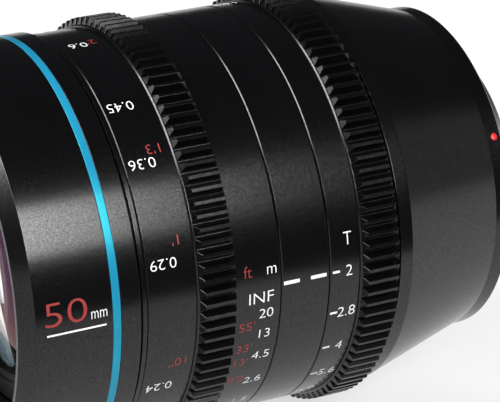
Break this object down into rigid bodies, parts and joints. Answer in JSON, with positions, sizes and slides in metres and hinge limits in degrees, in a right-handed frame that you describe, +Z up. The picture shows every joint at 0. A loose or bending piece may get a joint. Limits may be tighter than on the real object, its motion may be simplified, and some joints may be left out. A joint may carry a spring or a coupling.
{
  "type": "cinema prime lens",
  "caption": "Cinema prime lens with geared focus and iris rings, a sliding focusing group, a bladed iris, a blue accent ring and a bayonet mount.",
  "frame": {"origin": "on the optical axis, in the plane of the mount flange", "axes": "-X along the optical axis to the front of the lens, -Y to the side with the index dashes, +Z up"},
  "size_m": [0.1182, 0.0872, 0.0872],
  "materials": {
    "black_barrel": "black anodised, satin",
    "matt_black": "black anodised, matt",
    "inner_metal": "machined",
    "blue_accent": "blue anodised, glossy",
    "mount_metal": "turned and plated",
    "screw_steel": "plain",
    "brass": "turned",
    "slip_plastic": "slippery",
    "red_dot": "glossy",
    "blade_steel": "blackened",
    "optical_glass": "polished, coated",
    "front_glass": "polished, coated"
  },
  "bodies": {
    "barrel": {"mount_flange": "mount_metal", "mount_screws": "screw_steel", "mount_shim": "brass", "mount_dot": "red_dot", "rear_baffle": "matt_black", "rear_barrel": "black_barrel", "rear_lock_ring": "matt_black", "guide_tube": "inner_metal", "rear_cell": "matt_black", "rear_cell_lock_ring": "matt_black", "rear_retaining_ring": "matt_black", "rear_spacer_front": "matt_black", "rear_spacer_rear": "matt_black", "element_6": "optical_glass", "element_7": "optical_glass", "element_8": "optical_glass", "element_9": "front_glass", "iris_housing": "matt_black", "iris_cover": "matt_black", "iris_lock_ring": "matt_black", "index_barrel": "black_barrel", "index_screws": "screw_steel", "focus_stop_pin": "brass", "iris_stop_pin": "brass", "focus_slip_washers": "slip_plastic", "front_barrel": "black_barrel", "front_lock_ring": "matt_black", "accent_ring": "blue_accent", "front_ring": "black_barrel", "front_trim": "matt_black", "front_cell": "matt_black", "front_retaining_ring": "matt_black", "front_spacer": "matt_black", "element_1": "front_glass", "element_2": "optical_glass"},
    "focus_ring": {"focus_ring": "black_barrel", "focus_cam": "inner_metal", "focus_cam_screws": "screw_steel"},
    "focus_group": {"focus_carriage": "inner_metal", "cam_followers": "brass", "element_3": "optical_glass", "element_4": "optical_glass", "element_5": "optical_glass", "carriage_spacer": "matt_black", "carriage_retaining_ring": "matt_black"},
    "iris_ring": {"iris_ring": "black_barrel", "iris_link_pin": "brass", "iris_drive_ring": "matt_black"},
    "blade_1": {"iris_blade_1": "blade_steel"},
    "blade_2": {"iris_blade_2": "blade_steel"},
    "blade_3": {"iris_blade_3": "blade_steel"},
    "blade_4": {"iris_blade_4": "blade_steel"},
    "blade_5": {"iris_blade_5": "blade_steel"},
    "blade_6": {"iris_blade_6": "blade_steel"},
    "blade_7": {"iris_blade_7": "blade_steel"},
    "blade_8": {"iris_blade_8": "blade_steel"},
    "blade_9": {"iris_blade_9": "blade_steel"}
  },
  "joints": [
    {"name": "focus_turn", "type": "hinge", "parent": "barrel", "child": "focus_ring", "pos_m": [-0.0725, 0, 0], "axis": [-1, 0, 0], "range_deg": [0, 250]},
    {"name": "focus_slide", "type": "slide", "parent": "barrel", "child": "focus_group", "axis": [-1, 0, 0], "range_m": [0, 0.014]},
    {"name": "iris_turn", "type": "hinge", "parent": "barrel", "child": "iris_ring", "pos_m": [-0.039, 0, 0], "axis": [-1, 0, 0], "range_deg": [0, 76.8]},
    {"name": "blade_turn_1", "type": "hinge", "parent": "barrel", "child": "blade_1", "pos_m": [-0.037, -0.02049, 0], "axis": [-1, 0, 0], "range_deg": [0, 31.5]},
    {"name": "blade_turn_2", "type": "hinge", "parent": "barrel", "child": "blade_2", "pos_m": [-0.037, -0.0157, 0.01317], "axis": [-1, 0, 0], "range_deg": [0, 31.5]},
    {"name": "blade_turn_3", "type": "hinge", "parent": "barrel", "child": "blade_3", "pos_m": [-0.037, -0.00356, 0.02018], "axis": [-1, 0, 0], "range_deg": [0, 31.5]},
    {"name": "blade_turn_4", "type": "hinge", "parent": "barrel", "child": "blade_4", "pos_m": [-0.037, 0.01025, 0.01775], "axis": [-1, 0, 0], "range_deg": [0, 31.5]},
    {"name": "blade_turn_5", "type": "hinge", "parent": "barrel", "child": "blade_5", "pos_m": [-0.037, 0.01926, 0.00701], "axis": [-1, 0, 0], "range_deg": [0, 31.5]},
    {"name": "blade_turn_6", "type": "hinge", "parent": "barrel", "child": "blade_6", "pos_m": [-0.037, 0.01926, -0.00701], "axis": [-1, 0, 0], "range_deg": [0, 31.5]},
    {"name": "blade_turn_7", "type": "hinge", "parent": "barrel", "child": "blade_7", "pos_m": [-0.037, 0.01025, -0.01775], "axis": [-1, 0, 0], "range_deg": [0, 31.5]},
    {"name": "blade_turn_8", "type": "hinge", "parent": "barrel", "child": "blade_8", "pos_m": [-0.037, -0.00356, -0.02018], "axis": [-1, 0, 0], "range_deg": [0, 31.5]},
    {"name": "blade_turn_9", "type": "hinge", "parent": "barrel", "child": "blade_9", "pos_m": [-0.037, -0.0157, -0.01317], "axis": [-1, 0, 0], "range_deg": [0, 31.5]}
  ],
  "couplings": [
    {"joint": "focus_slide", "follows": "focus_turn", "m_per_rad": 0.0032086},
    {"joint": "blade_turn_1", "follows": "iris_turn", "ratio": 0.41016},
    {"joint": "blade_turn_2", "follows": "iris_turn", "ratio": 0.41016},
    {"joint": "blade_turn_3", "follows": "iris_turn", "ratio": 0.41016},
    {"joint": "blade_turn_4", "follows": "iris_turn", "ratio": 0.41016},
    {"joint": "blade_turn_5", "follows": "iris_turn", "ratio": 0.41016},
    {"joint": "blade_turn_6", "follows": "iris_turn", "ratio": 0.41016},
    {"joint": "blade_turn_7", "follows": "iris_turn", "ratio": 0.41016},
    {"joint": "blade_turn_8", "follows": "iris_turn", "ratio": 0.41016},
    {"joint": "blade_turn_9", "follows": "iris_turn", "ratio": 0.41016}
  ]
}
